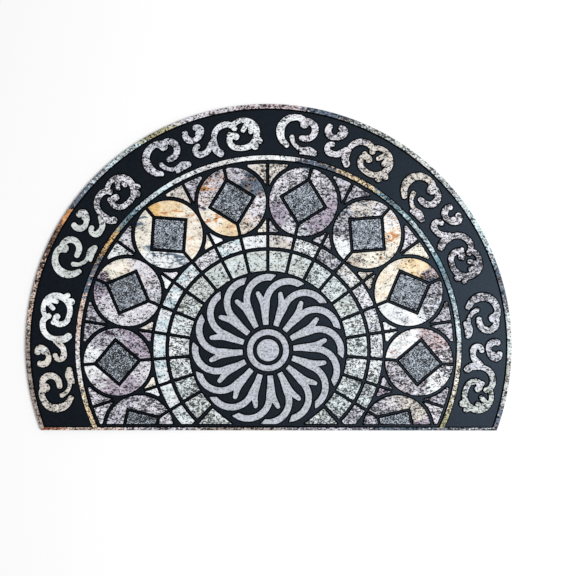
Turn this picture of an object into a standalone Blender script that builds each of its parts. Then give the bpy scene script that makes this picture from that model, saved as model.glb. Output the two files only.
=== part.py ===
"""Half-moon doormat: one moulded rubber piece with a pattern raised above its ground.

Metres, +Z up. The mat lies on its underside, which is the plane Z = 0. The origin is under the middle
of the mat's outline, and +Y runs from the straight edge towards the top of the half-moon.
"""
import bisect
import math

import bmesh
import bpy

MM = 0.001

# The outline: a circle cut off by a straight edge below its centre.
MAT_WIDTH = 0.900
MAT_DEPTH = 0.600
RADIUS = MAT_WIDTH / 2
STRAIGHT_EDGE = MAT_DEPTH - RADIUS     # how far the straight edge lies below the circle's centre
CENTRE_Y = STRAIGHT_EDGE - MAT_DEPTH / 2

# Heights above the floor.
GROUND_TOP = 5.5 * MM
PATTERN_TOP = 8.0 * MM
ROOT = 1.5 * MM                        # how far a raised shape is sunk into the ground under it

# Grooves between the raised shapes.
GROOVE = 6.0 * MM
RIM_WIDTH = 8.8 * MM
STRIP_HEIGHT = 6.0 * MM                # the rim's straight stretch along the bottom
FIELD_EDGE = -STRAIGHT_EDGE + STRIP_HEIGHT + GROOVE + 0.5 * MM   # the pattern is cut off at this height
SMALLEST_PIECE = 60 * MM * MM          # a cut-off shape with less area than this is dropped

# Rings, from the middle outwards.
DISC_RADIUS = 20.6 * MM
RING_RADII = (28.1 * MM, 38.8 * MM)
INNER_STONES = (146.5 * MM, 183.0 * MM)
OUTER_STONES = (190.0 * MM, 211.7 * MM)
ROUNDEL_CENTRES = 280.0 * MM
ROUNDEL_RADIUS = 62.2 * MM
BAND_RADII = (348.8 * MM, 356.8 * MM)
SCROLL_MIDDLE = 398.6 * MM

# The angle from one roundel to the next, in degrees. The stones of the two rings take half of it each.
ROUNDEL_PITCH = 27.0
STONE_PITCH = ROUNDEL_PITCH / 2
LAST_SPOKE = 130.0                     # how far round from the top the roundels and stones go

# The last stone of the inner ring on each side, cut down to a triangle: its corners, to the side of and
# above the pattern's centre.
FOOT_STONE = [(103.0 * MM, -108.5 * MM), (129.0 * MM, FIELD_EDGE), (67.5 * MM, FIELD_EDGE)]

# The square stone in each roundel, from its middle to its corner.
SQUARE_CORNER = 37.5 * MM
SQUARE_SEAT_CORNER = SQUARE_CORNER + GROOVE * math.sqrt(2)

# The corner pieces between the roundels.
SPANDREL_RADII = (217.8 * MM, 341.5 * MM)
SPANDREL_GROOVE = 7.5 * MM
SPANDREL_TIP = 4.0 * MM                # a corner piece ends where it is this narrow

# The rosette's petals: a stem that forks into a short prong and a long curved tail.
PETAL_COUNT = 16
FIRST_PETAL = 94.5
TAIL_CENTRE = (44.0 * MM, 84.0 * MM)   # of the tail's arc, to the right of and along the stem
TAIL_RADII = (34.0 * MM, 46.0 * MM)
TAIL_ROOT = 163.0                      # the angle on that arc at which the outer edge leaves the fork
TAIL_TIP = (55.0, 45.0)                # the angles at which the inner and the outer edge end
STEM_FOOT = (5.0 * MM, 47.0 * MM)      # half the stem's width, and how far along it begins
STEM_NECK = (6.0 * MM, 62.0 * MM)      # its right side, where the tail leaves it
PRONG_CENTRE = (-58.0 * MM, 76.0 * MM)  # of the arc that is the prong's outer edge
PRONG_RADIUS = 51.0 * MM
PRONG_TURN = 26.0
PRONG_TIP_CENTRE = (-10.0 * MM, 106.0 * MM)
PRONG_TIP_RADIUS = 4.0 * MM
PRONG_TIP = (190.0, 20.0)              # the angles at which its round tip starts and ends

# The scroll border: the same motif six times, each turned on from the last.
SCROLL_COUNT = 6
SCROLL_PITCH = 36.3
FIRST_SCROLL = 197.3

# The motif is made of strokes, each a path of arcs that run into one another: where it starts, along
# the border from the motif's start and out from the border's middle, and its heading; the arcs' radii
# and turns, a turn to the left being positive; and the stroke's width at the start and after each arc.
# Millimetres and degrees. Strokes that touch each other are in different layers.
SCROLL_STROKES = {
    "stems": {
        "great curl": ((26, -22, 150), [(28, -60), (28, -90), (14, -80)], [10, 15, 11, 15]),
        "leaf": ((34, -6, -80), [(24, 40), (24, 40), (120, -6), (120, -6)], [9, 7, 8, 15, 10]),
        "small curl": ((97, 26, -120), [(12, 70), (12, 70)], [10, 12, 9]),
        "stem": ((149, -29, 150), [(16, -60), (100, -8), (26, -82), (16, -70)], [13, 14, 10, 11, 10]),
        "right finger": ((212, 15, -100), [(100, 8)], [10, 8]),
        "outer bud": ((222, -10, -50), [(100, 5)], [10, 9]),
    },
    "hooks": {
        "great hook": ((50, 24, 30), [(16, -100), (16, -100), (30, -18)], [10, 12, 11, 10]),
        "back curl": ((138, -5, -125), [(60, -15), (16, -40), (100, -4), (8, -180)],
            [11, 11, 10, 12, 9]),
        "loop": ((181, 18, 40), [(26, -40), (24, -90), (26, -90), (60, -14), (15, -76), (8, -140)],
            [9, 9, 12, 10, 10, 11, 12]),
        "small knot": ((111, 9, 10), [(14, 80), (6, 90)], [9, 15, 11]),
    },
    "buds": {
        "leaf lobe": ((65, -30, -170), [(100, 6)], [9, 6]),
        "small bud": ((120, 15, 143), [(100, 3)], [7, 7]),
        "loop tip": ((171, 2, -30), [(100, 5)], [9, 9]),
        "left finger": ((206, 18, -130), [(100, 9)], [9, 8]),
        "inner bud": ((216, -17, -85), [(100, 5)], [12, 13]),
    },
}
ARC_STEP = 30.0                        # the most that an arc turns from one row to the next
STATION_PITCH = 12.5                   # how far apart the points of a stroke are, in millimetres
CURVE_SHARES = 12                      # how finely its length is measured, for each stretch
NOSE_LENGTH = 0.36                     # a stroke's round end, as shares of its width
NOSE_SIDE = 0.26

# How many straight steps each round outline has.
OUTLINE_STEPS = 62
BAND_STEPS = 48
RING_STEPS = 28
DISC_STEPS = 20
ROUNDEL_STEPS = 12                     # half a roundel
TAIL_STEPS = 7
PRONG_STEPS = 2
STONE_STEPS = 2
SPANDREL_STEPS = 3

WELD = 0.01 * MM                       # corners closer than this are one corner
FLATNESS = math.radians(0.5)           # faces whose planes differ by less than this are one face
FULL_CIRCLE = 360.0


def at(radius, angle):
    """The point at this radius and angle in degrees from the pattern's centre."""
    turn = math.radians(angle)
    return (radius * math.cos(turn), CENTRE_Y + radius * math.sin(turn))


def arc(centre, radius, start, end, steps):
    """Points along an arc, from one angle in degrees to the other."""
    points = []
    for step in range(steps + 1):
        turn = math.radians(start + (end - start) * step / steps)
        points.append((centre[0] + radius * math.cos(turn), centre[1] + radius * math.sin(turn)))
    return points


def ring_arc(radius, start, end, steps):
    """Points along an arc about the pattern's centre."""
    return arc((0.0, CENTRE_Y), radius, start, end, steps)


def edge_angle(radius, distance):
    """The angle, in degrees, by which a line this distance from a spoke turns away at this radius."""
    return math.degrees(math.asin(distance / radius))


def area(loop):
    """The area inside a closed outline."""
    total = 0.0
    for (x0, y0), (x1, y1) in zip(loop, loop[1:] + loop[:1]):
        total += x0 * y1 - x1 * y0
    return abs(total) / 2


def cut_at_bottom(loop):
    """The part of an outline above the pattern's straight lower edge."""
    floor = CENTRE_Y + FIELD_EDGE
    kept = []
    for (x0, y0), (x1, y1) in zip(loop, loop[1:] + loop[:1]):
        if y0 >= floor:
            kept.append((x0, y0))
        if (y0 >= floor) != (y1 >= floor):
            share = (floor - y0) / (y1 - y0)
            kept.append((x0 + share * (x1 - x0), floor))
    return kept


def within_field(loops):
    """These outlines, cut off at the pattern's lower edge, without the ones that all but vanish."""
    cut = [cut_at_bottom(loop) for loop in loops]
    return [loop for loop in cut if len(loop) > 2 and area(loop) > SMALLEST_PIECE]


def half_moon(radius, floor):
    """A circle's outline, closed by a straight line at this height from its centre."""
    end = math.degrees(math.asin(floor / radius))
    return ring_arc(radius, end, 180.0 - end, OUTLINE_STEPS)


def spokes(pitch, first):
    """Angles a pitch apart, from the mat's right-hand side over the top to its left-hand side."""
    top = 90.0
    count = int(LAST_SPOKE / pitch) + 1
    angles = [top + first + pitch * step for step in range(-count, count + 1)]
    return [angle for angle in angles if abs(angle - top) <= LAST_SPOKE]


def stone_ring(radii):
    """The stones of a ring: arched blocks with straight joints."""
    inner, outer = radii
    loops = []
    for middle in spokes(STONE_PITCH, STONE_PITCH / 2):
        half_in = STONE_PITCH / 2 - edge_angle(inner, GROOVE / 2)
        half_out = STONE_PITCH / 2 - edge_angle(outer, GROOVE / 2)
        loops.append(ring_arc(outer, middle - half_out, middle + half_out, STONE_STEPS)
                     + ring_arc(inner, middle + half_in, middle - half_in, STONE_STEPS))
    return loops


def foot_stones():
    """The triangular last stone on each side, on the pattern's lower edge."""
    return [[(side * across, CENTRE_Y + up) for across, up in FOOT_STONE] for side in (1, -1)]


def roundel_halves():
    """The stone of each roundel: a half ring on each side of its spoke, round the square's seat."""
    half_joint = GROOVE / 2
    corner = SQUARE_SEAT_CORNER
    loops = []
    for middle in spokes(ROUNDEL_PITCH, ROUNDEL_PITCH / 2):
        centre = at(ROUNDEL_CENTRES, middle)
        turn = math.radians(middle)
        for side in (1, -1):
            start = edge_angle(ROUNDEL_RADIUS, half_joint)
            rim = arc((0.0, 0.0), ROUNDEL_RADIUS, side * start, side * (180.0 - start), ROUNDEL_STEPS)
            seat = [(half_joint - corner, side * half_joint), (0.0, side * corner),
                    (corner - half_joint, side * half_joint)]
            loops.append([(centre[0] + out * math.cos(turn) - across * math.sin(turn),
                           centre[1] + out * math.sin(turn) + across * math.cos(turn))
                          for out, across in rim + seat])
    return loops


def squares():
    """The square stone in each roundel, standing on its corner."""
    loops = []
    for middle in spokes(ROUNDEL_PITCH, ROUNDEL_PITCH / 2):
        centre = at(ROUNDEL_CENTRES, middle)
        corners = arc(centre, SQUARE_CORNER, middle, middle + FULL_CIRCLE, 4)
        loops.append(corners[:-1])
    return loops


def roundel_side(radius):
    """The angle, from the spoke between two roundels, at which their groove's edge has this radius."""
    clear = ROUNDEL_RADIUS + SPANDREL_GROOVE
    cosine = (radius ** 2 + ROUNDEL_CENTRES ** 2 - clear ** 2) / (2 * radius * ROUNDEL_CENTRES)
    return ROUNDEL_PITCH / 2 - math.degrees(math.acos(cosine))


def spandrels(edge_radius, outwards):
    """The corner pieces between two roundels: a pair at each spoke, against one ring's edge.

    outwards is 1 for the pieces that point inwards from the band, and -1 for those that point outwards
    from the ring of stones.
    """
    tip_radius = edge_radius - outwards * SPANDREL_TIP
    clear = ROUNDEL_RADIUS + SPANDREL_GROOVE
    away = ROUNDEL_CENTRES * math.sin(math.radians(ROUNDEL_PITCH / 2)) - GROOVE / 2
    along = ROUNDEL_CENTRES * math.cos(math.radians(ROUNDEL_PITCH / 2))
    point_radius = along + outwards * math.sqrt(clear ** 2 - away ** 2)
    shares = [step / SPANDREL_STEPS for step in range(SPANDREL_STEPS + 1)]
    radii = [tip_radius + (point_radius - tip_radius) * share for share in shares]
    near = edge_angle(edge_radius, GROOVE / 2)
    tip = roundel_side(tip_radius)
    loops = []
    for middle in spokes(ROUNDEL_PITCH, 0.0):
        for side in (1, -1):
            edge = ring_arc(edge_radius, middle + side * near, middle + side * tip, STONE_STEPS)
            curve = [at(radius, middle + side * roundel_side(radius)) for radius in radii[:-1]]
            point = at(radii[-1], middle + side * edge_angle(radii[-1], GROOVE / 2))
            loops.append(edge + curve + [point])
    return loops


def petal():
    """One petal's outline, as (to the right of, along) its stem from the pattern's centre."""
    inner, outer = TAIL_RADII
    foot, foot_along = STEM_FOOT
    left_side = [(-foot, foot_along)]
    left_side += arc(PRONG_CENTRE, PRONG_RADIUS, 0.0, PRONG_TURN, PRONG_STEPS)
    left_side += arc(PRONG_TIP_CENTRE, PRONG_TIP_RADIUS, PRONG_TIP[0], PRONG_TIP[1], PRONG_STEPS)
    right_side = [STEM_NECK, (foot, foot_along)]
    outer_edge = arc(TAIL_CENTRE, outer, TAIL_ROOT, TAIL_TIP[1], TAIL_STEPS)
    inner_edge = arc(TAIL_CENTRE, inner, TAIL_TIP[0], 180.0, TAIL_STEPS)
    return left_side + outer_edge + inner_edge + right_side


def petals():
    """The rosette's petals, turned round the pattern's centre."""
    loops = []
    for count in range(PETAL_COUNT):
        turn = math.radians(FIRST_PETAL + FULL_CIRCLE / PETAL_COUNT * count)
        loops.append([(along * math.cos(turn) + right * math.sin(turn),
                       CENTRE_Y + along * math.sin(turn) - right * math.cos(turn))
                      for right, along in petal()])
    return loops


def arc_rows(start, arcs, widths):
    """Rows along a path of arcs: how far along, how far out, and the stroke's width there."""
    along, out, heading = start
    rows = [(along, out, widths[0])]
    for (radius, turn), width, next_width in zip(arcs, widths, widths[1:]):
        side = math.copysign(radius, turn)
        facing = math.radians(heading)
        middle = (along - side * math.sin(facing), out + side * math.cos(facing))
        steps = math.ceil(abs(turn) / ARC_STEP)
        for step in range(1, steps + 1):
            facing = math.radians(heading + turn * step / steps)
            along, out = middle[0] + side * math.sin(facing), middle[1] - side * math.cos(facing)
            rows.append((along, out, width + (next_width - width) * step / steps))
        heading += turn
    return rows


def smooth_point(row, index, share):
    """The point at this share of the way from one row to the next, on a smooth curve through them all."""
    before, start, end, after = row[index - 1:index + 3]
    return tuple(
        0.5 * (2 * p1 + (p2 - p0) * share + (2 * p0 - 5 * p1 + 4 * p2 - p3) * share ** 2
               + (3 * p1 - p0 - 3 * p2 + p3) * share ** 3)
        for p0, p1, p2, p3 in zip(before, start, end, after))


def smooth_stations(rows):
    """Stations evenly spaced along a smooth curve through the rows."""
    ends = [tuple(2 * a - b for a, b in zip(rows[0], rows[1])),
            tuple(2 * a - b for a, b in zip(rows[-1], rows[-2]))]
    row = [ends[0]] + list(rows) + [ends[1]]
    fine = [smooth_point(row, index, step / CURVE_SHARES)
            for index in range(1, len(row) - 2) for step in range(CURVE_SHARES)]
    fine.append(tuple(rows[-1]))
    reached = [0.0]
    for (x0, y0, _), (x1, y1, _) in zip(fine, fine[1:]):
        reached.append(reached[-1] + math.hypot(x1 - x0, y1 - y0))
    count = max(round(reached[-1] / STATION_PITCH), 1)
    stations = [fine[bisect.bisect_left(reached, reached[-1] * step / count)] for step in range(count)]
    stations.append(fine[-1])
    return stations


def stroke(rows):
    """The outline of a stroke through the rows, with blunt round ends, in millimetres."""
    stations = smooth_stations(rows)
    last = len(stations) - 1
    left, right = [], []
    for index, (along, out, width) in enumerate(stations):
        before, after = stations[max(index - 1, 0)], stations[min(index + 1, last)]
        length = math.dist(before[:2], after[:2])
        run, rise = (after[0] - before[0]) / length, (after[1] - before[1]) / length
        # Each edge point is some way ahead of its station and some way to its side.
        edge = [(0.0, width / 2)]
        if index == 0:
            edge.insert(0, (-NOSE_LENGTH * width, NOSE_SIDE * width))
        if index == last:
            edge.append((NOSE_LENGTH * width, NOSE_SIDE * width))
        for ahead, aside in edge:
            left.append((along + run * ahead - rise * aside, out + rise * ahead + run * aside))
            right.append((along + run * ahead + rise * aside, out + rise * ahead - run * aside))
    return left + right[::-1]


def scrolls(layer):
    """One layer of the border's strokes, bent round the mat and repeated along it."""
    loops = []
    for count in range(SCROLL_COUNT):
        start = FIRST_SCROLL - SCROLL_PITCH * count
        for start_row, arcs, widths in SCROLL_STROKES[layer].values():
            loops.append([at(SCROLL_MIDDLE + out * MM, start - math.degrees(along * MM / SCROLL_MIDDLE))
                          for along, out in stroke(arc_rows(start_row, arcs, widths))])
    return loops


def band():
    """The thin printed ring between the roundels and the scrolls, down to the strip along the bottom."""
    inner, outer = BAND_RADII
    floor = -STRAIGHT_EDGE + STRIP_HEIGHT - ROOT
    start_in = math.degrees(math.asin(floor / inner))
    start_out = math.degrees(math.asin(floor / outer))
    return [ring_arc(outer, start_out, 180.0 - start_out, BAND_STEPS)
            + ring_arc(inner, 180.0 - start_in, start_in, BAND_STEPS)]


def rubber():
    """Matt black moulded rubber."""
    material = bpy.data.materials.new("rubber")
    material.use_nodes = True
    shader = material.node_tree.nodes["Principled BSDF"]
    shader.inputs["Base Color"].default_value = (0.014, 0.017, 0.026, 1.0)
    shader.inputs["Roughness"].default_value = 0.85
    shader.inputs["Metallic"].default_value = 0.0
    return material


def prism(name, loops, bottom, top, collection):
    """A mesh object: the inside of these outlines between two heights."""
    curve = bpy.data.curves.new(name + " outline", "CURVE")
    curve.dimensions = "2D"
    curve.fill_mode = "BOTH"
    curve.extrude = (top - bottom) / 2
    for loop in loops:
        spline = curve.splines.new("POLY")
        spline.points.add(len(loop) - 1)
        for point, (x, y) in zip(spline.points, loop):
            point.co = (x, y, 0.0, 1.0)
        spline.use_cyclic_u = True
    outline = bpy.data.objects.new(name + " outline", curve)
    outline.location.z = (top + bottom) / 2
    bpy.context.scene.collection.objects.link(outline)
    bpy.context.view_layer.update()
    evaluated = outline.evaluated_get(bpy.context.evaluated_depsgraph_get())
    mesh = bpy.data.meshes.new_from_object(evaluated)
    mesh.name = name
    work = bmesh.new()
    work.from_mesh(mesh)
    bmesh.ops.remove_doubles(work, verts=work.verts, dist=WELD)
    bmesh.ops.dissolve_limit(work, angle_limit=FLATNESS, verts=work.verts, edges=work.edges)
    bmesh.ops.recalc_face_normals(work, faces=work.faces)
    work.to_mesh(mesh)
    work.free()
    solid = bpy.data.objects.new(name, mesh)
    solid.matrix_world = outline.matrix_world.copy()
    collection.objects.link(solid)
    bpy.data.objects.remove(outline)
    return solid


def tool(name, loops, bottom, top, collection):
    """A prism that shapes the mat and isn't part of it."""
    solid = prism(name, loops, bottom, top, collection)
    solid.hide_render = True
    solid.display_type = "WIRE"
    return solid


def shape_with(target, name, operation, other):
    """Cut another solid from the target, or join it on."""
    modifier = target.modifiers.new(name, "BOOLEAN")
    modifier.operation = operation
    modifier.solver = "EXACT"
    modifier.object = other


def main():
    for old in list(bpy.data.objects):
        bpy.data.objects.remove(old)

    parts = bpy.data.collections.new("half moon doormat")
    tools = bpy.data.collections.new("relief tools")
    bpy.context.scene.collection.children.link(parts)
    bpy.context.scene.collection.children.link(tools)

    mat = prism("mat", [half_moon(RADIUS, -STRAIGHT_EDGE)], 0.0, PATTERN_TOP, parts)
    mat.data.materials.append(rubber())

    field = half_moon(RADIUS - RIM_WIDTH, -STRAIGHT_EDGE + STRIP_HEIGHT)
    cutter = tool("field", [field], GROUND_TOP, PATTERN_TOP + ROOT, tools)
    shape_with(mat, "sunken field", "DIFFERENCE", cutter)

    disc = ring_arc(DISC_RADIUS, 0.0, FULL_CIRCLE, DISC_STEPS)[:-1]
    raised = {
        "disc and petals": petals() + [disc],
        "ring": [ring_arc(radius, 0.0, FULL_CIRCLE, RING_STEPS)[:-1] for radius in RING_RADII],
        "stones": stone_ring(INNER_STONES) + stone_ring(OUTER_STONES) + foot_stones(),
        "roundels": roundel_halves() + squares(),
        "corner pieces": spandrels(SPANDREL_RADII[0], -1) + spandrels(SPANDREL_RADII[1], 1),
    }
    for name, loops in raised.items():
        shape = tool(name, within_field(loops), GROUND_TOP - ROOT, PATTERN_TOP, tools)
        shape_with(mat, name, "UNION", shape)
    for layer in SCROLL_STROKES:
        shape = tool("scroll " + layer, scrolls(layer), GROUND_TOP - ROOT, PATTERN_TOP, tools)
        shape_with(mat, "scroll " + layer, "UNION", shape)
    shape = tool("band", band(), GROUND_TOP - ROOT, PATTERN_TOP, tools)
    shape_with(mat, "band", "UNION", shape)
    tidy = mat.modifiers.new("flat faces", "DECIMATE")
    tidy.decimate_type = "DISSOLVE"
    tidy.angle_limit = FLATNESS


main()
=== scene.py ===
import bpy
import numpy as np
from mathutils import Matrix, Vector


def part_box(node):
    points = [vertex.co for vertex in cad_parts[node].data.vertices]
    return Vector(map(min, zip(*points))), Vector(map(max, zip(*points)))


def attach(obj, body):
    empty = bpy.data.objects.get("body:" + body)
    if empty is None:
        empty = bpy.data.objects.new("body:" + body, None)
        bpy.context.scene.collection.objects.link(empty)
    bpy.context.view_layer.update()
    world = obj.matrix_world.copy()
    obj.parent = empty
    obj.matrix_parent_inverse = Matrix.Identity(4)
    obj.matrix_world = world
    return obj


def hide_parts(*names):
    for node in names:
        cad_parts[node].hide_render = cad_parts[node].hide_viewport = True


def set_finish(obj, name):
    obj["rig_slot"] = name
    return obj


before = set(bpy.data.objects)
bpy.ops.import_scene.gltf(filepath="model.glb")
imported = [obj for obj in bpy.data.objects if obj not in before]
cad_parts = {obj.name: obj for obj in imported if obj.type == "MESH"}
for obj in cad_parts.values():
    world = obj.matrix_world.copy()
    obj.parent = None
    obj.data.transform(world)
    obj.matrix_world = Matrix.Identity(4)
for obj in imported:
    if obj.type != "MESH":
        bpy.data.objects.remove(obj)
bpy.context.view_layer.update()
matLow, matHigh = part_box("mat")
mm = 0.001

# The whole mat. The pattern's centre is the centre of the half-moon's arc.
mat = {
    "radius": 450 * mm,
    "groundTop": 5.5 * mm,       # the black ground, above the floor
    "groove": 6.0 * mm,          # between two raised pieces
    "fieldEdge": -137.5 * mm,    # the pattern's straight lower edge, from its centre
    "smallest": 60 * mm * mm,    # a cut-off stone with less area is left out
}
patternTop = matHigh.z
centreY = matHigh.y - mat["radius"]
straightEdge = matLow.y - centreY    # below the pattern's centre, so negative

# The print's colours, as bytes of sRGB.
palette = {
    "snow": (248, 252, 255), "ice": (214, 234, 241), "mist": (222, 232, 234), "linen": (214, 221, 218),
    "pearl": (231, 229, 237), "cloud": (220, 223, 232), "dove": (206, 205, 216), "mauve": (186, 176, 192),
    "plum": (98, 84, 104), "cream": (250, 244, 230), "butter": (250, 227, 190), "gold": (234, 194, 134),
    "amber": (214, 156, 106), "rust": (158, 100, 78), "umber": (104, 86, 78), "peach": (234, 211, 197),
    "rose": (213, 197, 202), "sand": (226, 220, 212), "taupe": (172, 162, 155), "olive": (184, 181, 146),
    "slate": (104, 119, 136), "teal": (122, 155, 168), "lilac": (199, 204, 214), "granite": (190, 199, 211),
}
printShare = 0.84    # of the light that a palette colour stands for, because the floor is lit to white


# A byte of sRGB divided by 255, brought to linear light by the sRGB curve, times the print's share.
def linear(*names):
    value = np.array([palette[name] for name in names], float) / 255
    return printShare * np.where(value <= 0.04045, value / 12.92, ((value + 0.055) / 1.055) ** 2.4)


# Radius and angle in degrees, both from the pattern's centre, made x and y.
def polar(radius, degrees):
    turn = np.radians(degrees)
    return np.stack(np.broadcast_arrays(radius * np.cos(turn), centreY + radius * np.sin(turn)), axis=-1)


# The angle of each point from the pattern's centre, in degrees from -90 to 270.
def angleOf(points):
    return (np.degrees(np.arctan2(points[:, 1] - centreY, points[:, 0])) + 90.0) % 360.0 - 90.0


# Half the sum, over an outline's edges, of x times the next y less the next x times y.
def signedArea(loop):
    after = np.roll(loop, -1, axis=0)
    return 0.5 * np.sum(loop[:, 0] * after[:, 1] - after[:, 0] * loop[:, 1])


# The part of an outline above the pattern's lower edge: points below it go, and each edge that
# crosses it gives the point where it does.
def cutAtBottom(loop):
    floor = centreY + mat["fieldEdge"]
    after = np.roll(loop, -1, axis=0)
    above, aboveAfter = loop[:, 1] >= floor, after[:, 1] >= floor
    rise = np.where(above == aboveAfter, 1.0, after[:, 1] - loop[:, 1])
    crossing = loop + ((floor - loop[:, 1]) / rise)[:, None] * (after - loop)
    both = np.stack([loop, crossing], axis=1).reshape(-1, 2)
    kept = np.stack([above, above != aboveAfter], axis=1).reshape(-1)
    return both[kept]


# Each corner becomes a short curve: from a little before it to a little after it, bent towards it.
def roundedCorners(loop, reach, steps=4, mostOfEdge=0.35):
    before, after = np.roll(loop, 1, axis=0) - loop, np.roll(loop, -1, axis=0) - loop
    lengths = [np.linalg.norm(side, axis=1, keepdims=True) for side in (before, after)]
    start, end = [loop + side / length * np.minimum(reach, mostOfEdge * length)
                  for side, length in zip((before, after), lengths)]
    share = np.linspace(0.0, 1.0, steps)[None, :, None]
    curve = ((1 - share) ** 2 * start[:, None] + 2 * share * (1 - share) * loop[:, None]
             + share ** 2 * end[:, None])
    return curve.reshape(-1, 2)


# Points closer than this to the one before are dropped.
def withoutRepeats(loop, closest=0.01 * mm):
    gap = np.linalg.norm(loop - np.roll(loop, 1, axis=0), axis=1)
    return loop[gap > closest]


# For each point of an outline that runs anticlockwise, the step inwards that moves both its edges in by
# one: the sum of the edges' normals, times two, over that sum's own square, which is kept from getting
# so small at a sharp corner that the step runs away.
def inwardSteps(loop, smallest=0.9):
    ahead = np.roll(loop, -1, axis=0) - loop
    ahead = ahead / np.linalg.norm(ahead, axis=1, keepdims=True)
    normal = np.stack([-ahead[:, 1], ahead[:, 0]], axis=1)
    both = normal + np.roll(normal, 1, axis=0)
    return both * 2 / np.maximum(np.sum(both ** 2, axis=1, keepdims=True), smallest)


# How the side of a raised piece rises, as rows of (inwards, up, how black it is): a thin black skirt on
# the ground that is painted shade at the wall's foot, a steep wall and a rounded shoulder that are black
# as unprinted rubber and partly painted shade, and then the printed top.
raisedEdge = {
    # The skirt is a thin sheet of painted shade on the ground round the wall's foot.
    "shadeSkirt": 2.0 * mm,
    "shadeSkirtRise": 0.06 * mm,
    "shadeSkirtRoot": 0.6 * mm,
    "outside": 0.25 * mm,        # how far the wall's foot stands outside the outline
    "draft": 0.15 * mm,
    "shoulder": 0.7 * mm,
    "rootFlare": 0.2 * mm,       # how far the skirt's buried foot stands outside it
    # The shoulder's part black is unprinted rubber and partly painted shade where the top turns down into the
    # wall.
    "shoulderBlack": 0.6,        # how black the shoulder's middle is
}
bend = 0.3    # a rounding's middle point, as a share of its size in from each side


def raisedProfile(top):
    edge = raisedEdge
    ground, foot = mat["groundTop"], -edge["outside"]
    wall = foot + edge["draft"]
    # The first two rows are the skirt, black as painted shade on the ground; the next rows are the black wall
    # and shoulder.
    return np.array([
        (foot - edge["shadeSkirt"] - edge["rootFlare"], ground - edge["shadeSkirtRoot"], 1.0),
        (foot - edge["shadeSkirt"], ground + edge["shadeSkirtRise"], 1.0),
        (foot, ground + edge["shadeSkirtRise"], 1.0),
        (wall, top - edge["shoulder"], 1.0),
        (wall + bend * edge["shoulder"], top - bend * edge["shoulder"], edge["shoulderBlack"]),
        (wall + edge["shoulder"], top, 0.0),
    ])


# A profile carried round a closed outline: every row of the profile is the outline moved inwards and
# up, four-sided faces join the rows, and one face, or a ladder of them between the outline's two
# sides, closes the top and the bottom.
def carriedRound(loop, profile, ladder=False):
    if signedArea(loop) < 0:
        loop = loop[::-1]
    count, rows = len(loop), len(profile)
    flat = loop[None] + profile[:, 0, None, None] * inwardSteps(loop)[None]
    height = np.repeat(profile[:, 1], count).reshape(rows, count, 1)
    points = np.concatenate([flat, height], axis=2).reshape(-1, 3)
    here = np.arange(rows * count).reshape(rows, count)
    onward = np.roll(here, -1, axis=1)
    sides = np.stack([here[:-1], onward[:-1], onward[1:], here[1:]], axis=-1).reshape(-1, 4)
    top, bottom = here[-1], here[0]
    if ladder:
        step = np.arange(count // 2 - 1)
        rungs = np.stack([step, step + 1, count - 2 - step, count - 1 - step], axis=1)
        caps = [top[rungs], bottom[rungs][:, ::-1]]
    else:
        caps = [top[None], bottom[None, ::-1]]
    return {
        "points": points,
        "faces": [sides] + caps,
        "smooth": [True, False, False],
        "black": np.repeat(profile[:, 2], count),
        "flat": np.tile(loop, (rows, 1)),
    }


# A closed profile carried along the band between two matching closed outlines: each row is a share of
# the way from the outer to the inner one, plus a distance along the same line.
def carriedBetween(outer, inner, rows):
    across = inner - outer
    along = across / np.linalg.norm(across, axis=1, keepdims=True)
    share, extra, height, black = [np.array(column)[:, None] for column in zip(*rows)]
    flat = outer[None] + share[..., None] * across[None] + extra[..., None] * along[None]
    count = len(outer)
    points = np.concatenate([flat, np.repeat(height, count, axis=1)[..., None]], axis=2).reshape(-1, 3)
    here = np.arange(len(rows) * count).reshape(len(rows), count)
    onward, inward = np.roll(here, -1, axis=1), np.roll(here, -1, axis=0)
    faces = np.stack([here, onward, np.roll(onward, -1, axis=0), inward], axis=-1).reshape(-1, 4)
    return {
        "points": points,
        "faces": [faces],
        "smooth": [True],
        "black": np.repeat(black[:, 0], count),
        "flat": np.tile(outer, (len(rows), 1)),
    }


# Shells joined into one mesh object, with each vertex's blackness and the print's values as attributes.
def makePiece(name, shells, material, slot):
    faces, smooth, start = [], [], 0
    for shell in shells:
        for group, flag in zip(shell["faces"], shell["smooth"]):
            faces += (group + start).tolist()
            smooth += [flag] * len(group)
        start += len(shell["points"])
    mesh = bpy.data.meshes.new(name)
    mesh.from_pydata(np.concatenate([shell["points"] for shell in shells]).tolist(), [], faces)
    mesh.polygons.foreach_set("use_smooth", smooth)
    number, colour = ("FLOAT", "value", 1), ("FLOAT_COLOR", "color", 4)
    kinds = {"black": number, "share": number, "tint": colour, "patch": colour, "streak": colour}
    for key, (kind, field, width) in kinds.items():
        if key not in shells[0]:
            continue
        values = np.concatenate([np.asarray(shell[key], np.float32).reshape(-1, width)
                                 for shell in shells])
        mesh.attributes.new(key, kind, "POINT").data.foreach_set(field, values.ravel())
    mesh.materials.append(material)
    mesh.update()
    piece = bpy.data.objects.new(name, mesh)
    bpy.context.scene.collection.objects.link(piece)
    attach(piece, "root")
    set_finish(piece, slot)
    print(name, len(faces), "faces")
    return piece


# The print along a path: between two stops of a list, each (place, colour, how speckled), the print
# passes from the one to the other. Streaks and veins are of one more colour.
def printAlong(shell, stops, position, streak, streaks):
    places = np.array([stop[0] for stop in stops], float)
    colours = np.column_stack([linear(*[stop[1] for stop in stops]), [stop[2] for stop in stops]])
    order = np.argsort(places)
    places, colours = places[order], colours[order]
    index = np.clip(np.searchsorted(places, position) - 1, 0, len(places) - 2)
    shell["share"] = np.clip((position - places[index]) / (places[index + 1] - places[index]), 0.0, 1.0)
    shell["tint"], shell["patch"] = colours[index], colours[index + 1]
    shell["streak"] = np.tile([*linear(streak)[0], streaks], (len(shell["points"]), 1))
    return shell


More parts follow.
